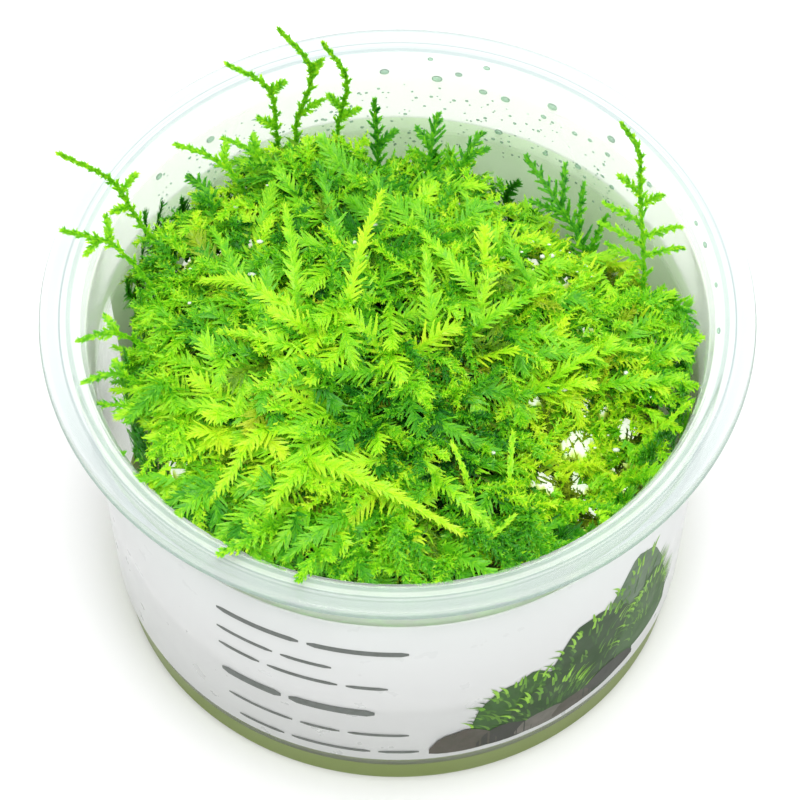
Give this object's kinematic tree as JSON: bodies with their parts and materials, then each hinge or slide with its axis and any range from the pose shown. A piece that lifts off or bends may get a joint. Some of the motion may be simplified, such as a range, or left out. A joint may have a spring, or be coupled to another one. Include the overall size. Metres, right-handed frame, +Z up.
{
  "type": "christmas moss grown in a clear tub",
  "caption": "Tissue-culture aquarium moss domed over the rim of a clear flanged plastic tub, with a plain sleeve label, a gel bed and free fern-like shoots.",
  "frame": {"origin": "centre of the tub's flat underside, on the surface that it stands on", "axes": "+Z up along the tub's axis, -Y towards the front of the label, +X to its right"},
  "size_m": [0.1, 0.1, 0.086],
  "materials": {
    "clear_plastic": "gloss",
    "label_film": "satin",
    "gel": "gloss",
    "moss": "matte",
    "moss_shoot": "matte"
  },
  "bodies": {
    "root": {"tub": "clear_plastic", "label_sleeve": "label_film", "nutrient_gel": "gel", "moss_cushion": "moss", "shoot_back_tall": "moss_shoot", "shoot_back_bent": "moss_shoot", "shoot_back_curled": "moss_shoot", "shoot_back_dark": "moss_shoot", "shoot_far_left": "moss_shoot", "shoot_left_spur": "moss_shoot", "shoot_left_short": "moss_shoot", "shoot_left_back": "moss_shoot", "shoot_left_dark": "moss_shoot", "shoot_left_low": "moss_shoot", "shoot_left_lower": "moss_shoot", "shoot_right_feather": "moss_shoot", "shoot_right_fan": "moss_shoot", "shoot_right_arch": "moss_shoot", "shoot_back_twin_left": "moss_shoot", "shoot_back_twin_right": "moss_shoot", "shoot_lip_left": "moss_shoot", "shoot_lip_front": "moss_shoot"}
  },
  "joints": []
}
